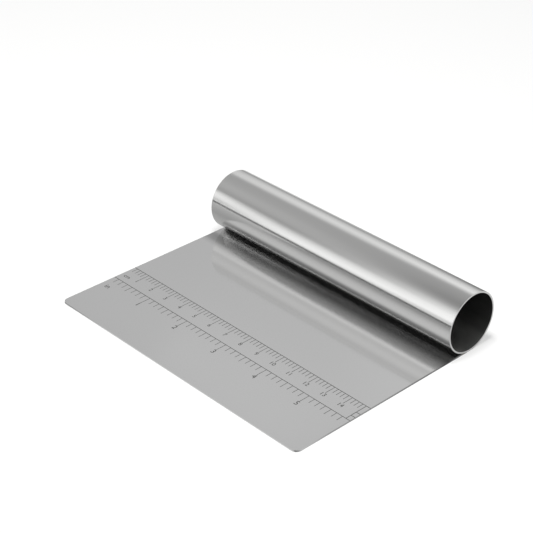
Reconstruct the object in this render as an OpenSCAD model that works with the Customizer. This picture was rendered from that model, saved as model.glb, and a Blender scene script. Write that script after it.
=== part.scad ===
// Dough scraper: a flat stainless blade welded along the front foot of an open tube handle.
// X runs along the width, +Y from the scraping edge to the handle, +Z up.
// The origin lies on the table under the middle of the whole part.

/* [Blade] */
// Width of the blade and length of the handle
blade_w = 150; // [100:1:200]
// Whole depth, from the scraping edge to the back of the handle
overall_d = 120; // [95:1:160]
// Thickness of the blade's sheet
blade_t = 0.8; // [0.6:0.1:1.5]
// Radius of the two corners at the scraping edge
corner_r = 3; // [1:0.5:15]
// Thickness left at the ground scraping edge
edge_t = 0.5; // [0.2:0.05:0.55]
// Depth of the bevel ground into the underside, behind the scraping edge
bevel_d = 0.5; // [0.2:0.1:3]

/* [Handle] */
// Outside diameter of the handle tube
handle_d = 29.4; // [20:0.2:40]
// Wall of the handle tube
handle_wall = 0.8; // [0.6:0.1:2]
// Broken edges at the tube's ends, inside and outside
rim_break = 0.15; // [0.05:0.05:0.25]
// Thinnest gap under the tube that the seam weld still fills
weld_gap = 0.08; // [0.04:0.01:0.3]

/* [Scales] */
// Distance of the metric line from the scraping edge
metric_y = 42.6; // [38:0.2:60]
// Distance of the inch line from the scraping edge
inch_y = 30.4; // [20:0.2:32]
// Length of the two millimetre and eighth inch ticks
tick_short = 3.4; // [2:0.1:3.8]
// Length of the half inch ticks
tick_mid = 4.4; // [3:0.1:4.8]
// Length of the centimetre and inch ticks
tick_long = 5.6; // [4:0.1:5.8]
// Width of a tick
tick_w = 0.25; // [0.15:0.05:0.5]
// Width of the lines that carry the ticks
line_w = 0.3; // [0.2:0.05:0.6]
// Depth of the engraving
mark_depth = 0.08; // [0.04:0.01:0.2]
// Distance from the closing line at the end of the scales to the blade's side
scale_margin = 2; // [1:0.5:10]

/* [Hidden] */

// Colours
steel_satin = [0.70, 0.70, 0.69];
steel_bright = [0.78, 0.78, 0.77];
steel_weld = [0.55, 0.54, 0.52];
mark_dark = [0.28, 0.28, 0.27];

// The scales have true units, whatever the size of the blade: fifths of a centimetre, with no tick for
// the half, and eighths of an inch
fifth_pitch = 2;
fifths_per_long = 5;
inch_pitch = 25.4 / 8;
eighths_per_mid = 4;
eighths_per_long = 8;
// Heights of the rungs past the closing line, as shares of the way from the inch line to the metric line
rung_shares = [0, 0.25, 0.5];

// How far a cutting shape runs past the face that it opens
cut_over = 0.5;
// Fineness of the round surfaces
round_fn = 180;

// Distance from the handle's axis at which the tube's underside is h above the table
function foot(h) = sqrt(h * (handle_d - h));

left_x = -blade_w / 2;
front_y = -overall_d / 2;
axis_y = overall_d / 2 - handle_d / 2;
// The blade ends where its top edge meets the tube
blade_rear_y = axis_y - foot(blade_t);
weld_end_y = axis_y - foot(weld_gap);
marks_z = blade_t - mark_depth;
scale_len = blade_w - scale_margin;

// Length of a scale's tick number i
function tick_len(i, mid, long) = i % long == 0 ? tick_long : i % mid == 0 ? tick_mid : tick_short;

// Ticks of a scale from left to right, as the four corners of each, hanging from y = 0
function tick_points(pitch, mid, long) = [
    for (i = [1 : floor((scale_len - line_w - tick_w) / pitch)])
        let (x = i * pitch, l = tick_len(i, mid, long))
            each [[x - tick_w / 2, 0], [x - tick_w / 2, -l], [x + tick_w / 2, -l], [x + tick_w / 2, 0]]
];

// Rungs from the closing line to the blade's side, as corners from its foot up. The lowest rung carries on
// the inch line.
function rung_points(drop, over) = [
    for (share = rung_shares)
        let (y = (share - 1) * drop)
            each concat(
                share > 0 ? [[scale_len, y]] : [],
                [[blade_w + over, y], [blade_w + over, y + line_w], [scale_len, y + line_w]]
            )
];

// Plan of the metric scale. The closing line at its end drops to the inch line. Both lines run on past it
// to the blade's side, with two rungs between them.
module metric_plan(over = 0) {
    drop = metric_y - inch_y;
    translate([left_x, front_y + metric_y - line_w / 2])
        polygon(concat(
            [[-over, line_w], [-over, 0]],
            tick_points(fifth_pitch, fifths_per_long, fifths_per_long),
            [[scale_len - line_w, 0], [scale_len - line_w, -drop]],
            rung_points(drop, over),
            [[scale_len, 0], [blade_w + over, 0], [blade_w + over, line_w]]
        ));
}

// Plan of the inch scale, up to the closing line
module inch_plan(over = 0) {
    translate([left_x, front_y + inch_y - line_w / 2])
        polygon(concat(
            [[-over, line_w], [-over, 0]],
            tick_points(inch_pitch, eighths_per_mid, eighths_per_long),
            [[scale_len - line_w, 0], [scale_len - line_w, line_w]]
        ));
}

// What a round corner takes off a square one at the origin, for the quarter towards +X and +Y
module corner_waste(r) {
    difference() {
        translate([-cut_over, -cut_over]) square(r + cut_over);
        translate([r, r]) circle(r = r, $fn = round_fn);
    }
}

// Sheet with the bevel ground under its scraping edge, as a profile run along the width
module blade_sheet() {
    translate([left_x, 0, 0]) rotate([90, 0, 90]) linear_extrude(blade_w)
        polygon([
            [front_y + bevel_d, 0], [blade_rear_y, 0], [blade_rear_y, blade_t],
            [front_y, blade_t], [front_y, blade_t - edge_t]
        ]);
}

module blade() {
    color(steel_satin) difference() {
        blade_sheet();
        for (side = [-1, 1])
            translate([side * blade_w / 2, front_y, -cut_over]) linear_extrude(blade_t + 2 * cut_over)
                mirror([side > 0 ? 1 : 0, 0]) corner_waste(corner_r);
        translate([0, 0, marks_z]) linear_extrude(mark_depth + cut_over) {
            metric_plan(cut_over);
            inch_plan(cut_over);
        }
    }
}

// Round bar along the handle's axis, over its whole length and some way past both ends
module handle_bar(r, over) {
    translate([left_x - over, axis_y, handle_d / 2]) rotate([0, 90, 0])
        cylinder(r = r, h = blade_w + 2 * over, $fn = round_fn);
}

// Tube with both rims broken inside and outside, as a wall profile turned about the axis
module handle_tube() {
    outer = handle_d / 2;
    inner = outer - handle_wall;
    color(steel_bright) translate([left_x, axis_y, handle_d / 2]) rotate([0, 90, 0])
        rotate_extrude($fn = round_fn) polygon([
            [inner + rim_break, 0], [outer - rim_break, 0],
            [outer, rim_break], [outer, blade_w - rim_break],
            [outer - rim_break, blade_w], [inner + rim_break, blade_w],
            [inner, blade_w - rim_break], [inner, rim_break]
        ]);
}

// Filler between the blade's end and the tube, ground flush with the underside
module seam_weld() {
    color(steel_weld) difference() {
        translate([left_x, blade_rear_y, 0]) cube([blade_w, weld_end_y - blade_rear_y, blade_t]);
        handle_bar(handle_d / 2, cut_over);
    }
}

// Dark filling of the engraved metric scale
module metric_marks() {
    color(mark_dark) translate([0, 0, marks_z]) linear_extrude(mark_depth) metric_plan();
}

// Dark filling of the engraved inch scale
module inch_marks() {
    color(mark_dark) translate([0, 0, marks_z]) linear_extrude(mark_depth) inch_plan();
}

blade();
handle_tube();
seam_weld();
metric_marks();
inch_marks();
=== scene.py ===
"""Dough scraper: a satin steel blade with an open tube handle, dressed for a studio view."""
import logging
import math
from dataclasses import dataclass
from enum import Enum

import bpy
from mathutils import Matrix, Vector


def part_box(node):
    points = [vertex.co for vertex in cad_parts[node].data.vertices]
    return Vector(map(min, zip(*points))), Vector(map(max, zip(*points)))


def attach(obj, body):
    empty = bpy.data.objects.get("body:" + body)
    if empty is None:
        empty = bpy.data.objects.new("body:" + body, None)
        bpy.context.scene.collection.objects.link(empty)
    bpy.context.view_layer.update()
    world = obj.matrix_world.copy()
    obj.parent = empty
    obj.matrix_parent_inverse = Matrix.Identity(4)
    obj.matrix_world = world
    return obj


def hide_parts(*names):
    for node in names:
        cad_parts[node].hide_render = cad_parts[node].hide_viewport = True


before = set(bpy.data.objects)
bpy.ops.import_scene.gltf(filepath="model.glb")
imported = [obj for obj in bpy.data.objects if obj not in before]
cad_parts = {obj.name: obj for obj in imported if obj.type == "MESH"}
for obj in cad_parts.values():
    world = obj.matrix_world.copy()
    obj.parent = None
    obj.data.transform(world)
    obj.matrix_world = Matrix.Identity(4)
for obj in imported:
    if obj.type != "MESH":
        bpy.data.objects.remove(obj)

LOG = logging.getLogger("dough_scraper")
# Lengths are in metres where their names don't say millimetres
MM = 0.001
BODY = "root"
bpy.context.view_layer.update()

# A node's number: fixed, or taken from another node
Number = bpy.types.NodeSocket | float
# Places or angles, each with the level or share there
Stops = tuple[tuple[float, float], ...]
# Where something starts and ends
Stretch = tuple[float, float]


class Slot(Enum):
    """Names of the record's material slots for the new pieces; nothing here uses them."""

    HANDLE = "handle_steel"
    MARKS = "mark_filling"


def linear(code: str) -> tuple[float, float, float, float]:
    """Turn an sRGB hex colour into linear light.

    Args:
        code: six hex digits with a leading hash.

    Returns:
        Red, green, blue and alpha, each from 0 to 1.
    """
    parts = [int(code[i:i + 2], 16) / 255 for i in (1, 3, 5)]
    red, green, blue = (p / 12.92 if p <= 0.04045 else ((p + 0.055) / 1.055) ** 2.4 for p in parts)
    return red, green, blue, 1.0


def add_node(tree: bpy.types.NodeTree, kind: str, settings: dict | None = None,
             links: dict | None = None) -> bpy.types.Node:
    """Add one node to a tree, set it and link its inputs.

    Args:
        tree: the node tree that gets the node.
        kind: the node's type name.
        settings: values by property name, or by an input's name or number.
        links: output sockets by an input's name or number.

    Returns:
        The new node.
    """
    node = tree.nodes.new(kind)
    for key, value in (settings or {}).items():
        if isinstance(key, int) or key in node.inputs:
            node.inputs[key].default_value = value
        else:
            setattr(node, key, value)
    for key, socket in (links or {}).items():
        tree.links.new(socket, node.inputs[key])
    return node


def feed(tree: bpy.types.NodeTree, socket: bpy.types.NodeSocket, number: Number) -> None:
    """Give an input its number.

    Args:
        tree: the tree that holds the input.
        socket: the input.
        number: what it gets.
    """
    if isinstance(number, bpy.types.NodeSocket):
        tree.links.new(number, socket)
    else:
        socket.default_value = number


def work_out(tree: bpy.types.NodeTree, operation: str, *numbers: Number) -> bpy.types.NodeSocket:
    """Put numbers through one step of arithmetic.

    Args:
        tree: the tree that gets the step.
        operation: the step's name, such as MULTIPLY.
        numbers: what goes in.

    Returns:
        The result.
    """
    node = add_node(tree, "ShaderNodeMath", {"operation": operation})
    for index, number in enumerate(numbers):
        feed(tree, node.inputs[index], number)
    return node.outputs[0]


def share_of(tree: bpy.types.NodeTree, number: bpy.types.NodeSocket, stretch: Stretch,
             shape: str = "LINEAR") -> bpy.types.NodeSocket:
    """Say how far a number has come along a stretch.

    Args:
        tree: the tree that gets the step.
        number: the number.
        stretch: where the share is 0 and where it is 1.
        shape: how it runs in between.

    Returns:
        The share, from 0 to 1.
    """
    node = add_node(tree, "ShaderNodeMapRange", {
        "interpolation_type": shape, "From Min": stretch[0], "From Max": stretch[1]}, {"Value": number})
    return node.outputs["Result"]


def blend(tree: bpy.types.NodeTree, share: bpy.types.NodeSocket, start: Number,
          end: Number) -> bpy.types.NodeSocket:
    """Go over from one number to another.

    Args:
        tree: the tree that gets the step.
        share: 0 for the first number, 1 for the second, or in between.
        start: the first number.
        end: the second number.

    Returns:
        The blended number.
    """
    node = add_node(tree, "ShaderNodeMix", {"data_type": "FLOAT"}, {0: share})
    feed(tree, node.inputs[2], start)
    feed(tree, node.inputs[3], end)
    return node.outputs[0]


def look_up(tree: bpy.types.NodeTree, share: bpy.types.NodeSocket, stretch: Stretch,
            stops: Stops) -> bpy.types.NodeSocket:
    """Read a level from a table of stops.

    Args:
        tree: the tree that gets the step.
        share: how far along the stretch to read, from 0 to 1.
        stretch: the place or angle at which the share is 0 and the one at which it is 1.
        stops: the table, with places or angles as the stretch has them.

    Returns:
        The level there, as a grey colour.
    """
    start, end = stretch
    ramp = add_node(tree, "ShaderNodeValToRGB", None, {"Fac": share})
    elements = ramp.color_ramp.elements
    elements.remove(elements[-1])
    for index, (place, level) in enumerate(stops):
        position = (place - start) / (end - start)
        stop = elements[0] if index == 0 else elements.new(position)
        stop.position = position
        stop.color = (level,) * 3 + (1.0,)
    return ramp.outputs["Color"]


def in_metres(stretch: Stretch) -> Stretch:
    """Turn a stretch in millimetres into metres."""
    return stretch[0] * MM, stretch[1] * MM


def new_material(name: str) -> tuple[bpy.types.Material, bpy.types.NodeTree, bpy.types.Node]:
    """Make an empty node material.

    Args:
        name: the material's name.

    Returns:
        The material, its tree and its output node.
    """
    material = bpy.data.materials.new(name)
    material.use_nodes = True
    tree = material.node_tree
    tree.nodes.clear()
    return material, tree, tree.nodes.new("ShaderNodeOutputMaterial")


@dataclass(frozen=True)
class Skin:
    """Painted shade on part of the steel: its colour darkened by place, standing in for shade."""

    # Places along the axis in millimetres, and the share of light kept there
    stops: Stops
    # X in millimetres, from where there is no painted shade to where it is full
    onset_mm: Stretch
    axis: str = "Y"


@dataclass(frozen=True)
class GroundSteel:
    """Stainless steel, AISI 304 or its filler, with fine marks one way from a belt or a die.

    A bare metal with no coat. The marks run along the handle and blur reflections across them, and
    handling leaves broad patches that are a little duller than the rest.
    """

    name: str
    colour: str
    roughness: float
    # How far the patches move the roughness each way, and how wide a patch is
    patch_spread: float
    patch_mm: float = 35.0
    # Length of a scratch along X, its spacing along Y and Z, and its depth as the bump sees it
    scratch_mm: tuple[float, float, float] = (40.0, 0.5, 0.5)
    scratch_depth_mm: float = 0.002
    # Light kept at a glancing angle, next to what the plain rule for a metal gives
    glancing: str = "#FFFFFF"
    # Painted shade: the colour darkened by place, where shade falls
    skin: Skin | None = None

    # The part of its range that noise mostly keeps to
    NOISE_RANGE = (0.3, 0.7)

    def material(self) -> bpy.types.Material:
        """Build the node material.

        Returns:
            The finished material.
        """
        material, tree, output = new_material(self.name)
        place = add_node(tree, "ShaderNodeTexCoord").outputs["Object"]
        stretched = add_node(tree, "ShaderNodeMapping", {
            "Scale": [1 / (size * MM) for size in self.scratch_mm]}, {"Vector": place})
        scratches = add_node(tree, "ShaderNodeTexNoise", {
            "Scale": 1.0, "Detail": 4.0, "Roughness": 0.65}, {"Vector": stretched.outputs["Vector"]})
        patches = add_node(tree, "ShaderNodeTexNoise", {
            "Scale": 1 / (self.patch_mm * MM), "Detail": 3.0, "Roughness": 0.5}, {"Vector": place})
        rough = add_node(tree, "ShaderNodeMapRange", {
            "From Min": self.NOISE_RANGE[0], "From Max": self.NOISE_RANGE[1],
            "To Min": self.roughness - self.patch_spread,
            "To Max": self.roughness + self.patch_spread}, {"Value": patches.outputs["Fac"]})
        bump = add_node(tree, "ShaderNodeBump", {
            "Strength": 1.0, "Distance": self.scratch_depth_mm * MM},
            {"Height": scratches.outputs["Fac"]})
        shader = add_node(tree, "ShaderNodeBsdfPrincipled", {
            "Base Color": linear(self.colour), "Metallic": 1.0, "Specular Tint": linear(self.glancing)},
            {"Roughness": rough.outputs["Result"], "Normal": bump.outputs["Normal"]})
        # Painted shade darkens the colour by place
        if self.skin:
            tree.links.new(self._tinted(tree, place, self.skin), shader.inputs["Base Color"])
        tree.links.new(shader.outputs["BSDF"], output.inputs["Surface"])
        return material

    def _tinted(self, tree: bpy.types.NodeTree, place: bpy.types.NodeSocket,
                skin: Skin) -> bpy.types.NodeSocket:
        """Darken the steel's colour by place, as painted shade.

        Args:
            tree: the material's tree.
            place: the place on the object.
            skin: where the shade is painted and how deep it is.

        Returns:
            The colour.
        """
        split = add_node(tree, "ShaderNodeSeparateXYZ", None, {"Vector": place})
        stretch = (skin.stops[0][0], skin.stops[-1][0])
        kept = look_up(tree, share_of(tree, split.outputs[skin.axis], in_metres(stretch)), stretch,
                       skin.stops)
        onset = share_of(tree, split.outputs["X"], in_metres(skin.onset_mm))
        mix = add_node(tree, "ShaderNodeMix", {
            "data_type": "RGBA", "blend_type": "MULTIPLY", 6: linear(self.colour)}, {0: onset, 7: kept})
        return mix.outputs[2]


@dataclass(frozen=True)
class EtchedMark:
    """Dark oxide in the engraved marks: dull, nearly black, with a grey metal sheen."""

    name: str = "etched_oxide"
    colour: str = "#3C3C3A"
    metal: float = 0.3
    roughness: Stretch = (0.45, 0.75)
    grain_mm: float = 0.4

    def material(self) -> bpy.types.Material:
        """Build the node material.

        Returns:
            The finished material.
        """
        material, tree, output = new_material(self.name)
        place = add_node(tree, "ShaderNodeTexCoord").outputs["Object"]
        grain = add_node(tree, "ShaderNodeTexNoise", {
            "Scale": 1 / (self.grain_mm * MM), "Detail": 2.0}, {"Vector": place})
        rough = add_node(tree, "ShaderNodeMapRange", {
            "To Min": self.roughness[0], "To Max": self.roughness[1]}, {"Value": grain.outputs["Fac"]})
        shader = add_node(tree, "ShaderNodeBsdfPrincipled", {
            "Base Color": linear(self.colour), "Metallic": self.metal},
            {"Roughness": rough.outputs["Result"]})
        tree.links.new(shader.outputs["BSDF"], output.inputs["Surface"])
        return material


def deselect_all() -> None:
    """Leave no object selected."""
    for item in bpy.context.selected_objects:
        item.select_set(False)


def dress(piece: bpy.types.Object, *materials: bpy.types.Material) -> None:
    """Put materials into an object's slots.

    Args:
        piece: the object.
        materials: one material per slot.
    """
    while len(piece.data.materials) < len(materials):
        piece.data.materials.append(None)
    for index, material in enumerate(materials):
        piece.data.materials[index] = material


@dataclass
class Blade:
    """The flat sheet of the scraper, as the CAD holds it."""

    node: str = "blade"
    # Satin sheet: an even grey that mirrors softly. A dark strip of painted shade runs before the tube,
    # where the blade goes under it, deepest a little way in front of the seam.
    finish: GroundSteel = GroundSteel(
        "satin_304_sheet", "#C3C3C3", 0.09, 0.01, scratch_depth_mm=0.0004, glancing="#B5B5B5",
        skin=Skin(((23, 1.0), (25.5, 0.80), (27.5, 0.46), (29, 0.38), (30.5, 0.31), (32, 0.36),
                   (33.5, 0.64), (44, 0.80)), onset_mm=(-95, -60)))

    def build(self) -> bpy.types.Object:
        """Dress the CAD sheet.

        Returns:
            The sheet's object.
        """
        sheet = bpy.data.objects[self.node]
        dress(sheet, self.finish.material())
        return sheet

    def top(self) -> float:
        """Height of the upper face."""
        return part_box(self.node)[1][2]

    def left(self) -> float:
        """Place of the left side."""
        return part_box(self.node)[0][0]

    def front(self) -> float:
        """Place of the scraping edge."""
        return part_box(self.node)[0][1]


@dataclass
class Handle:
    """The open tube, turned smoother than the CAD's facets, in the same place and size."""

    node: str = "handle_tube"
    wall: float = 0.8 * MM
    rim_break: float = 0.15 * MM
    # Sides of the round, and faces across a broken edge
    sides: int = 256
    rim_steps: int = 3
    # Tube ground along its length: brighter than the sheet, with its reflections drawn out softly
    outside: GroundSteel = GroundSteel("fine_ground_304_tube", "#DADAD9", 0.15, 0.01, glancing="#E7E7E7")
    # The bore is dull steel, with painted shade over its sides and top and a lighter band along its floor
    # as a painted reflection
    inside: GroundSteel = GroundSteel(
        "drawn_tube_bore_painted_shade", "#E0E0DE", 0.42, 0.04,
        skin=Skin(((0.8, 1.0), (2.8, 0.9), (5.5, 0.35), (10, 0.22), (28.6, 0.22)),
                  onset_mm=(-76, -75.5), axis="Z"))

    # Corners sharper than the first angle are broken, and ones flatter than the second shaded smooth
    SHARP = math.radians(60)
    SMOOTH = math.radians(30)
    # A face whose normal has more X than the first is an end, and one with less than the second a wall
    END = 0.9
    WALL = 0.3

    def build(self) -> bpy.types.Object:
        """Model and dress the tube.

        Returns:
            The tube's object.
        """
        low, high = (Vector(corner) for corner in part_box(self.node))
        middle = (low + high) / 2
        deselect_all()
        bpy.ops.mesh.primitive_cylinder_add(
            vertices=self.sides, radius=(high.z - low.z) / 2, depth=high.x - low.x,
            end_fill_type="NGON", location=middle, rotation=(0, math.radians(90), 0))
        tube = bpy.context.active_object
        tube.name = "handle_shell"
        bpy.ops.object.transform_apply(location=True, rotation=True, scale=True)
        self._open_bore(tube)
        bpy.ops.object.shade_smooth_by_angle(angle=self.SMOOTH)
        self._break_rims(tube)
        dress(tube, self.outside.material(), self.inside.material())
        self._mark_bore(tube, middle)
        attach(tube, BODY)
        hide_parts(self.node)
        return tube

    def _open_bore(self, tube: bpy.types.Object) -> None:
        """Inset both ends by the wall and bridge the two inner rings.

        Args:
            tube: the solid bar's object.
        """
        bpy.ops.object.mode_set(mode="EDIT")
        bpy.ops.mesh.select_mode(type="FACE")
        bpy.ops.mesh.select_all(action="DESELECT")
        bpy.ops.object.mode_set(mode="OBJECT")
        for face in tube.data.polygons:
            face.select = abs(face.normal.x) > self.END
        bpy.ops.object.mode_set(mode="EDIT")
        bpy.ops.mesh.inset(thickness=self.wall, depth=0)
        bpy.ops.mesh.delete(type="ONLY_FACE")
        bpy.ops.mesh.select_mode(type="EDGE")
        bpy.ops.mesh.select_all(action="DESELECT")
        bpy.ops.mesh.select_non_manifold()
        bpy.ops.mesh.bridge_edge_loops()
        bpy.ops.mesh.select_all(action="SELECT")
        bpy.ops.mesh.normals_make_consistent(inside=False)
        bpy.ops.object.mode_set(mode="OBJECT")

    def _break_rims(self, tube: bpy.types.Object) -> None:
        """Round the four sharp rings at the tube's ends.

        Args:
            tube: the open tube's object.
        """
        rims = tube.modifiers.new("rim_break", "BEVEL")
        rims.width = self.rim_break
        rims.segments = self.rim_steps
        rims.limit_method = "ANGLE"
        rims.angle_limit = self.SHARP
        rims.harden_normals = True
        bpy.ops.object.modifier_apply(modifier=rims.name)

    def _mark_bore(self, tube: bpy.types.Object, middle: Vector) -> None:
        """Give the faces of the bore the second slot.

        Args:
            tube: the finished tube's object.
            middle: the middle of its axis.
        """
        for face in tube.data.polygons:
            out = Vector((0, face.center.y - middle.y, face.center.z - middle.z))
            inward = face.normal.dot(out) < 0 and abs(face.normal.x) < self.WALL
            face.material_index = 1 if inward else 0


@dataclass
class Seam:
    """The weld under the front foot of the tube, ground flush."""

    node: str = "seam_weld"
    # Filler metal ground by hand: a warmer, duller grey with short deep scratches
    finish: GroundSteel = GroundSteel(
        "ground_weld_308", "#9C9890", 0.42, 0.06, scratch_mm=(6.0, 0.4, 0.4), scratch_depth_mm=0.006)

    def build(self) -> bpy.types.Object:
        """Dress the CAD seam.

        Returns:
            The seam's object.
        """
        seam = bpy.data.objects[self.node]
        dress(seam, self.finish.material())
        return seam


@dataclass
class Scale:
    """One engraved scale: the CAD's line and ticks, and the numbers under its long ticks."""

    node: str
    blade: Blade
    finish: bpy.types.Material
    # Pitch of the numbered ticks
    pitch: float
    count: int
    # Distance from the carrying line's upper side to the middle of the numbers
    drop: float
    height: float
    unit: str
    # Middle of the unit mark, from the blade's left side and the scraping edge
    unit_place: tuple[float, float]

    # Height of a capital in the built-in lettering, as a share of its size
    CAPITAL = 0.70
    # The filling stands this far above and below the blade's face
    PROUD = 0.01 * MM
    SUNK = 0.03 * MM
    # Steps of a letter's curves, and the distance within which two of its points are one
    CURVE_STEPS = 4
    SAME_POINT = 0.001 * MM

    def build(self) -> bpy.types.Object:
        """Dress the CAD ticks and letter the numbers.

        Returns:
            The object that holds the numbers and the unit mark.
        """
        dress(bpy.data.objects[self.node], self.finish)
        left, front = self.blade.left(), self.blade.front()
        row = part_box(self.node)[1][1] - self.drop
        marks = [self._letter(str(i), left + i * self.pitch, row) for i in range(1, self.count + 1)]
        marks.append(self._letter(self.unit, left + self.unit_place[0], front + self.unit_place[1]))
        deselect_all()
        for mark in marks:
            mark.select_set(True)
        bpy.context.view_layer.objects.active = marks[0]
        bpy.ops.object.join()
        numbers = bpy.context.active_object
        numbers.name = self.node.replace("marks", "numbers")
        dress(numbers, self.finish)
        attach(numbers, BODY)
        return numbers

    def _letter(self, text: str, x: float, y: float) -> bpy.types.Object:
        """Letter one mark as a thin mesh on the blade.

        Args:
            text: what the mark says.
            x: its middle along the width.
            y: its middle along the depth.

        Returns:
            The mark's object.
        """
        deselect_all()
        middle = self.blade.top() + (self.PROUD - self.SUNK) / 2
        bpy.ops.object.text_add(location=(x, y, middle))
        mark = bpy.context.active_object
        mark.data.body = text
        mark.data.size = self.height / self.CAPITAL
        mark.data.align_x = "CENTER"
        mark.data.align_y = "CENTER"
        mark.data.extrude = (self.PROUD + self.SUNK) / 2
        mark.data.resolution_u = self.CURVE_STEPS
        bpy.ops.object.convert(target="MESH")
        bpy.ops.object.transform_apply(location=True, rotation=True, scale=True)
        bpy.ops.object.mode_set(mode="EDIT")
        bpy.ops.mesh.select_all(action="SELECT")
        bpy.ops.mesh.remove_doubles(threshold=self.SAME_POINT)
        bpy.ops.mesh.normals_make_consistent(inside=False)
        bpy.ops.object.mode_set(mode="OBJECT")
        return mark


@dataclass(frozen=True)
class Table:
    """A wide white table: white to the camera, with a soft shadow, and in bands to mirrored rays."""

    size: float = 8.0
    # How far it lies below the part, so that no two faces are at one height
    gap: float = 0.02 * MM
    colour: str = "#F8F8F7"
    # Share of plain white in what the camera sees
    lift: float = 0.5

    # The stretches of Y and X in millimetres over which its bands run
    DEPTH = (-400, 600)
    WIDTH = (-120, 120)
    # Level that metal mirrors, from the front to the back
    bands: Stops = (
        (-400, 1.0), (-300, 0.5), (-240, 0.1), (-70, 0.1), (-65, 0.85), (-55, 0.85), (-40, 0.5), (20, 0.45),
        (40, 0.8), (80, 0.95), (140, 0.95), (220, 0.55), (500, 0.42), (600, 0.4))
    # What multiplies it, less a loss from left to right that sets in over a stretch of Y
    gain: float = 1.15
    loss: Stops = ((-120, 0.0), (19.2, 0.9), (69.6, 0.9), (79.2, 0.3), (120, 0.3))
    loss_onset_mm: Stretch = (-20, 30)
    # A further loss at the blade's two front corners, and the narrow strip of Y that has it
    corners: Stops = ((-120, 0.7), (-72, 0.7), (-43.2, 0.0), (72.96, 0.0), (73.92, 0.9), (120, 0.9))
    corner_strip: Stops = ((-64, 0.0), (-63, 1.0), (-57.8, 1.0), (-57, 0.0))
    # The least level that a ray mirrors after its second bounce, and how much less it is from the third
    later_level: float = 1.2
    later_fall: float = 0.7

    def build(self) -> None:
        """Lay the table."""
        deselect_all()
        bpy.ops.mesh.primitive_plane_add(size=self.size, location=(0, 0, -self.gap))
        table = bpy.context.active_object
        table.name = "table"
        dress(table, self._material())

    def _material(self) -> bpy.types.Material:
        """Build the table's material.

        Returns:
            The finished material.
        """
        material, tree, output = new_material("white_sweep")
        paths = add_node(tree, "ShaderNodeLightPath")
        diffuse = add_node(tree, "ShaderNodeBsdfDiffuse", {"Color": linear(self.colour)})
        white = add_node(tree, "ShaderNodeEmission", {"Color": (1, 1, 1, 1), "Strength": 1.0})
        seen = work_out(tree, "MULTIPLY", paths.outputs["Is Camera Ray"], self.lift)
        plain = add_node(tree, "ShaderNodeMixShader", None, {
            "Fac": seen, 1: diffuse.outputs["BSDF"], 2: white.outputs["Emission"]})
        place = add_node(tree, "ShaderNodeTexCoord").outputs["Object"]
        split = add_node(tree, "ShaderNodeSeparateXYZ", None, {"Vector": place})
        mirrored = add_node(tree, "ShaderNodeEmission", None, {
            "Color": self._level(tree, paths.outputs["Glossy Depth"], split.outputs["Y"]),
            "Strength": self._factor(tree, split.outputs["X"], split.outputs["Y"])})
        mix = add_node(tree, "ShaderNodeMixShader", None, {
            "Fac": paths.outputs["Is Glossy Ray"], 1: plain.outputs["Shader"],
            2: mirrored.outputs["Emission"]})
        tree.links.new(mix.outputs["Shader"], output.inputs["Surface"])
        return material

    def _level(self, tree: bpy.types.NodeTree, bounces: bpy.types.NodeSocket,
               y: bpy.types.NodeSocket) -> bpy.types.NodeSocket:
        """Find the level of the bands.

        Args:
            tree: the table's tree.
            bounces: how often the ray was mirrored.
            y: the place from front to back.

        Returns:
            The level.
        """
        run = share_of(tree, y, in_metres(self.DEPTH))
        band = look_up(tree, run, self.DEPTH, self.bands)
        second = work_out(tree, "GREATER_THAN", bounces, 1.5)
        third = work_out(tree, "GREATER_THAN", bounces, 2.5)
        least = work_out(tree, "SUBTRACT", work_out(tree, "MULTIPLY", second, self.later_level),
                         work_out(tree, "MULTIPLY", third, self.later_fall))
        return work_out(tree, "MAXIMUM", band, least)

    def _factor(self, tree: bpy.types.NodeTree, x: bpy.types.NodeSocket,
                y: bpy.types.NodeSocket) -> bpy.types.NodeSocket:
        """Find what multiplies the level.

        Args:
            tree: the table's tree.
            x: the place from left to right.
            y: the place from front to back.

        Returns:
            The factor.
        """
        across = share_of(tree, x, in_metres(self.WIDTH))
        run = share_of(tree, y, in_metres(self.DEPTH))
        lost = work_out(tree, "MULTIPLY", look_up(tree, across, self.WIDTH, self.loss),
                        share_of(tree, y, in_metres(self.loss_onset_mm)))
        cornered = work_out(tree, "MULTIPLY", look_up(tree, across, self.WIDTH, self.corners),
                            look_up(tree, run, self.DEPTH, self.corner_strip))
        return work_out(tree, "SUBTRACT", work_out(tree, "SUBTRACT", self.gain, lost), cornered)


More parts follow.
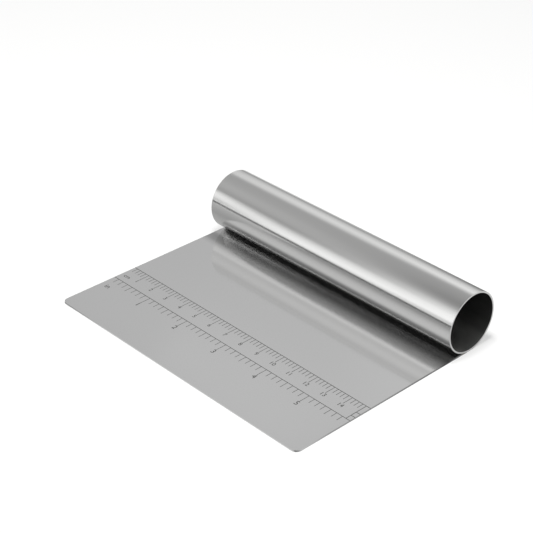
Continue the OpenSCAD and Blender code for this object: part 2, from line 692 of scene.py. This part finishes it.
@dataclass(frozen=True)
class Walls:
    """Light from all round, with a level for each angle and each bounce.

    A table holds degrees round the handle's axis, from the back horizon over the top to the front, and
    the light that metal sees there.
    """

    # What a first bounce sees from the middle of the handle
    middle: Stops = (
        (0, 0.46), (9, 0.68), (21, 0.85), (33, 0.95), (38, 1.02), (41, 0.94), (42.3, 0.86),
        (44.2, 0.86), (45.2, 0.92), (47.5, 0.91), (51, 0.74), (60, 0.51), (68, 0.47), (90, 0.49),
        (110, 0.54), (135, 0.51), (141, 0.45), (146, 0.54), (153, 0.88), (165, 1.15), (175, 1.35),
        (181, 1.20), (185, 0.50), (355, 0.43))
    # The same towards the right end, where the bright band in front is wider
    right: Stops = (
        (0, 0.45), (9, 0.74), (21, 0.92), (33, 1.06), (38, 1.10), (41, 1.00), (42.3, 0.91),
        (44.2, 0.91), (45.5, 0.89), (47, 0.82), (50, 0.62), (58, 0.46), (66, 0.44), (85, 0.38),
        (105, 0.28), (115, 0.33), (125, 0.52), (140, 1.10), (152, 1.32), (170, 1.35), (176, 0.85),
        (181, 0.50), (355, 0.42))
    # Towards the left, where a dark line runs above the bright band
    left: Stops = (
        (0, 0.46), (9, 0.68), (21, 0.84), (33, 0.92), (38, 0.96), (41, 0.90), (42.3, 0.86),
        (44.2, 0.86), (45.2, 0.91), (47.5, 0.92), (51, 0.74), (60, 0.51), (68, 0.47), (90, 0.50),
        (110, 0.56), (122, 0.56), (131, 0.50), (137, 0.22), (146, 0.16), (152, 0.22), (157, 0.60),
        (165, 1.08), (172, 1.35), (177, 1.55), (181, 1.20), (185, 0.50), (355, 0.43))
    # At the left end, where the bright band is higher and ends sooner
    far_left: Stops = (
        (0, 0.45), (9, 0.66), (21, 0.79), (33, 0.84), (41, 0.85), (47.5, 0.86), (51, 0.70), (60, 0.51),
        (68, 0.47), (90, 0.50), (110, 0.56), (122, 0.53), (131, 0.45), (138, 0.48), (142, 0.66),
        (147, 1.08), (156, 1.30), (166, 1.08), (174, 0.60), (181, 0.36), (355, 0.42))
    # The X of a ray's direction over which one table goes over into the next
    to_right: Stretch = (-0.565, -0.515)
    to_left: Stretch = (-0.606, -0.626)
    to_far_left: Stretch = (-0.628, -0.645)

    # What a ray sees after a second and a third bounce, between the blade and the tube. Each bounce
    # takes light away, and these levels make up for part of that.
    again: Stops = (
        (0, 0.90), (40, 1.12), (80, 1.18), (91, 1.32), (98, 1.12), (112, 1.14), (130, 1.31),
        (145, 1.32), (152, 1.26), (157, 1.22), (162, 1.20), (169, 1.12), (174, 1.46), (182, 1.62),
        (188, 0.90), (355, 0.80))
    thrice: Stops = (
        (0, 0.60), (78, 1.00), (106, 0.50), (118, 0.48), (124, 0.65), (128, 1.40), (133, 3.70),
        (137, 4.40), (143, 3.40), (147, 2.55), (151, 1.70), (156, 1.62), (160, 1.85), (165, 2.25),
        (172, 2.60), (175, 1.90), (179, 1.20), (190, 0.90), (355, 0.60))
    # The level after a fourth and after any later bounce, deep in the joint
    fourth: float = 0.42
    later: float = 0.25
    # The same three towards the left end of the joint, and the X of direction over which they set in
    thrice_left: Stops = (
        (0, 0.60), (78, 1.00), (106, 1.80), (116, 3.80), (123, 4.40), (127, 5.00), (131, 6.20),
        (136, 6.90), (141, 5.30), (146, 3.90), (151, 3.10), (157, 2.70), (165, 2.10), (172, 2.20),
        (181, 1.20), (355, 0.60))
    fourth_left: float = 2.0
    later_left: float = 0.6
    deep_to_left: Stretch = (-0.609, -0.638)

    # Light on the table and on other dull faces, and what the camera itself sees
    fill: float = 0.25
    backdrop: float = 1.0

    # The angles that a table spans
    TURN = (0, 360)

    def build(self) -> None:
        """Make the world."""
        world = bpy.data.worlds.new("studio_walls")
        bpy.context.scene.world = world
        world.use_nodes = True
        tree = world.node_tree
        tree.nodes.clear()
        output = tree.nodes.new("ShaderNodeOutputWorld")
        direction = add_node(tree, "ShaderNodeTexCoord").outputs["Generated"]
        split = add_node(tree, "ShaderNodeSeparateXYZ", None, {"Vector": direction})
        angle = work_out(tree, "ARCTAN2", split.outputs["Z"], split.outputs["Y"])
        turn = work_out(tree, "FRACT", work_out(tree, "DIVIDE", angle, 2 * math.pi))
        paths = add_node(tree, "ShaderNodeLightPath")
        level, *later_levels = self._by_bounce(tree, turn, split.outputs["X"])
        for bounces, later in enumerate(later_levels, 1):
            past = work_out(tree, "GREATER_THAN", paths.outputs["Glossy Depth"], bounces + 0.5)
            level = blend(tree, past, level, later)
        level = blend(tree, paths.outputs["Is Diffuse Ray"], level, self.fill)
        level = blend(tree, paths.outputs["Is Camera Ray"], level, self.backdrop)
        light = add_node(tree, "ShaderNodeBackground", {"Color": (1, 1, 1, 1)}, {"Strength": level})
        tree.links.new(light.outputs["Background"], output.inputs["Surface"])

    def _by_bounce(self, tree: bpy.types.NodeTree, turn: bpy.types.NodeSocket,
                   x: bpy.types.NodeSocket) -> list[bpy.types.NodeSocket]:
        """Work out the light after each bounce.

        Args:
            tree: the world's tree.
            turn: the ray's angle round the handle's axis, as a share of a full turn.
            x: the X of its direction.

        Returns:
            The light after one, two, three, four and more bounces.
        """
        first = self._table(tree, turn, self.middle)
        for stretch, stops in ((self.to_right, self.right), (self.to_left, self.left),
                               (self.to_far_left, self.far_left)):
            first = blend(tree, share_of(tree, x, stretch, "SMOOTHSTEP"), first,
                          self._table(tree, turn, stops))
        deep_left = share_of(tree, x, self.deep_to_left, "SMOOTHSTEP")
        third = blend(tree, deep_left, self._table(tree, turn, self.thrice),
                      self._table(tree, turn, self.thrice_left))
        return [first, self._table(tree, turn, self.again), third,
                blend(tree, deep_left, self.fourth, self.fourth_left),
                blend(tree, deep_left, self.later, self.later_left)]

    def _table(self, tree: bpy.types.NodeTree, turn: bpy.types.NodeSocket,
               stops: Stops) -> bpy.types.NodeSocket:
        """Look up the light at an angle.

        Args:
            tree: the world's tree.
            turn: the angle as a share of a full turn.
            stops: degrees and light.

        Returns:
            The light there.
        """
        peak = max(level for _, level in stops)
        shares = tuple((degrees, level / peak) for degrees, level in stops)
        return work_out(tree, "MULTIPLY", look_up(tree, turn, self.TURN, shares), peak)


@dataclass(frozen=True)
class Softbox:
    """One soft lamp overhead, which lights the table and draws the shadow under the tube."""

    place: tuple[float, float, float] = (0.04, -0.15, 1.2)
    size: float = 0.35
    power: float = 14.0

    def build(self) -> None:
        """Hang the lamp, pointed at the part and left out of its reflections."""
        light = bpy.data.lights.new("overhead_softbox", "AREA")
        light.shape = "RECTANGLE"
        light.size = self.size
        light.size_y = self.size
        light.energy = self.power
        lamp = bpy.data.objects.new("overhead_softbox", light)
        bpy.context.collection.objects.link(lamp)
        lamp.location = self.place
        lamp.rotation_euler = (-Vector(self.place)).to_track_quat("-Z", "Y").to_euler()
        lamp.visible_glossy = False
        lamp.visible_camera = False


@dataclass(frozen=True)
class Viewpoint:
    """The camera, where the photograph was taken from."""

    azimuth: float = math.radians(45.72)
    elevation: float = math.radians(31.172)
    roll: float = math.radians(0.982)
    distance: float = 0.7188
    # The point that it looks at
    aim: tuple[float, float, float] = (-0.03514, 0.02951, 0.0)
    lens_mm: float = 103.25
    sensor_mm: float = 36.0
    clip_end: float = 100.0

    def build(self) -> None:
        """Stand the camera up."""
        data = bpy.data.cameras.new("studio_camera")
        data.sensor_width = self.sensor_mm
        data.lens = self.lens_mm
        data.clip_end = self.clip_end
        camera = bpy.data.objects.new("studio_camera", data)
        bpy.context.collection.objects.link(camera)
        turn = (Matrix.Rotation(self.azimuth, 4, "Z")
                @ Matrix.Rotation(math.radians(90) - self.elevation, 4, "X")
                @ Matrix.Rotation(self.roll, 4, "Z"))
        back = turn.to_3x3() @ Vector((0, 0, 1))
        camera.matrix_world = Matrix.Translation(Vector(self.aim) + back * self.distance) @ turn
        bpy.context.scene.camera = camera


def main() -> None:
    """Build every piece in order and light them."""
    logging.basicConfig(level=logging.INFO, format="%(message)s")
    blade = Blade()
    marks = EtchedMark().material()
    pieces = [
        blade.build(),
        Handle().build(),
        Seam().build(),
        Scale("metric_marks", blade, marks, pitch=10 * MM, count=14, drop=7.4 * MM, height=2.2 * MM,
              unit="cm", unit_place=(4.0 * MM, 34.6 * MM)).build(),
        Scale("inch_marks", blade, marks, pitch=25.4 * MM, count=5, drop=7.5 * MM, height=2.8 * MM,
              unit="in", unit_place=(4.5 * MM, 22.6 * MM)).build(),
    ]
    for piece in pieces:
        LOG.info("made %s with %d faces", piece.name, len(piece.data.polygons))
    for part in (Table(), Walls(), Softbox(), Viewpoint()):
        part.build()
    bpy.context.scene.view_settings.view_transform = "Standard"


if __name__ == "__main__":
    main()
